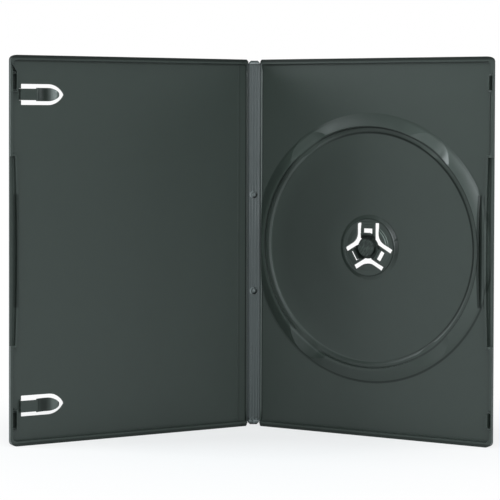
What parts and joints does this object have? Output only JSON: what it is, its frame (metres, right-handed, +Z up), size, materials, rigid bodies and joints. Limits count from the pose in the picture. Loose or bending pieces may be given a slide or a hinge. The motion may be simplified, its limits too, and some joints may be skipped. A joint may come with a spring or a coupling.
{
  "type": "disc case",
  "caption": "Slim moulded case for one disc, standing folded open, with a push-button hub in the tray and booklet clips in the front cover.",
  "frame": {"origin": "on the floor, under the middle of the open case", "axes": "+Z up along the spine, +X from the front cover towards the disc tray, -Y out of the open inside, +Y towards the spine's back"},
  "size_m": [0.2354, 0.072, 0.19],
  "materials": {
    "polypropylene": "satin, fine grain"
  },
  "bodies": {
    "spine": {"spine": "polypropylene"},
    "front_cover": {"front_cover": "polypropylene"},
    "back_cover": {"back_cover": "polypropylene"},
    "booklet_clip_upper": {"booklet_clip_upper": "polypropylene"},
    "booklet_clip_lower": {"booklet_clip_lower": "polypropylene"},
    "hub_button": {"hub_button": "polypropylene"},
    "hub_finger_top": {"hub_finger_top": "polypropylene"},
    "hub_finger_left": {"hub_finger_left": "polypropylene"},
    "hub_finger_right": {"hub_finger_right": "polypropylene"}
  },
  "joints": [
    {"name": "front_cover_fold", "type": "hinge", "parent": "spine", "child": "front_cover", "pos_m": [-0.0033, 0.03577, 0.095], "axis": [0, 0, 1], "range_deg": [-31, 59]},
    {"name": "back_cover_fold", "type": "hinge", "parent": "spine", "child": "back_cover", "pos_m": [0.0033, 0.03577, 0.095], "axis": [0, 0, -1], "range_deg": [-31, 59]},
    {"name": "booklet_clip_upper_lift", "type": "hinge", "parent": "front_cover", "child": "booklet_clip_upper", "pos_m": [-0.11286, -0.03042, 0.1709], "axis": [0, 0, -1], "range_deg": [0, 6], "stiffness_Nm_per_rad": 0.05},
    {"name": "booklet_clip_lower_lift", "type": "hinge", "parent": "front_cover", "child": "booklet_clip_lower", "pos_m": [-0.11286, -0.03042, 0.0191], "axis": [0, 0, -1], "range_deg": [0, 6], "stiffness_Nm_per_rad": 0.05},
    {"name": "hub_button_press", "type": "slide", "parent": "back_cover", "child": "hub_button", "axis": [0.515, 0.8572, 0], "range_m": [0, 0.0008], "stiffness_N_per_m": 8000},
    {"name": "hub_finger_top_bend", "type": "hinge", "parent": "back_cover", "child": "hub_finger_top", "pos_m": [0.05807, 0.00081, 0.1076], "axis": [0.8572, -0.515, 0], "range_deg": [0, 6.22]},
    {"name": "hub_finger_left_bend", "type": "hinge", "parent": "back_cover", "child": "hub_finger_left", "pos_m": [0.04871, 0.00643, 0.0887], "axis": [-0.4286, 0.2575, 0.866], "range_deg": [0, 6.22]},
    {"name": "hub_finger_right_bend", "type": "hinge", "parent": "back_cover", "child": "hub_finger_right", "pos_m": [0.06742, -0.00481, 0.0887], "axis": [-0.4286, 0.2575, -0.866], "range_deg": [0, 6.22]}
  ],
  "couplings": [
    {"joint": "hub_finger_top_bend", "follows": "hub_button_press", "rad_per_m": 135.26},
    {"joint": "hub_finger_left_bend", "follows": "hub_button_press", "rad_per_m": 135.26},
    {"joint": "hub_finger_right_bend", "follows": "hub_button_press", "rad_per_m": 135.26}
  ]
}
